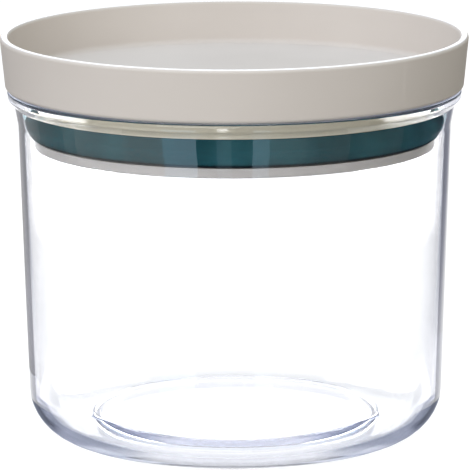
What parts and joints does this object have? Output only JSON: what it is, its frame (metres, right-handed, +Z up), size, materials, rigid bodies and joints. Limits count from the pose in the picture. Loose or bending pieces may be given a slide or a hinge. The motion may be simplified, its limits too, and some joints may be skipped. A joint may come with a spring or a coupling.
{
  "type": "food canister with tray lid",
  "caption": "Round clear plastic food canister, closed by a cream lid whose raised rim forms a stacking tray and whose plug carries a teal soft seal ring.",
  "frame": {"origin": "centre of the container's foot ring, on the plane that it stands on", "axes": "+Z up along the container's axis and out through the lid; the part is turned about Z, so X and Y are free"},
  "size_m": [0.115, 0.115, 0.1],
  "materials": {
    "clear_plastic": "clear, polished inside and out",
    "cream_plastic": "fine satin texture",
    "seal_rubber": "smooth, semi-gloss",
    "cover_plastic": "satin"
  },
  "bodies": {
    "container": {"container": "clear_plastic"},
    "lid": {"lid_tray": "cream_plastic", "seal_ring": "seal_rubber", "plug_cover": "cover_plastic"}
  },
  "joints": [
    {"name": "lid_lift", "type": "slide", "parent": "container", "child": "lid", "axis": [0, 0, 1], "range_m": [0, 0.12]}
  ]
}
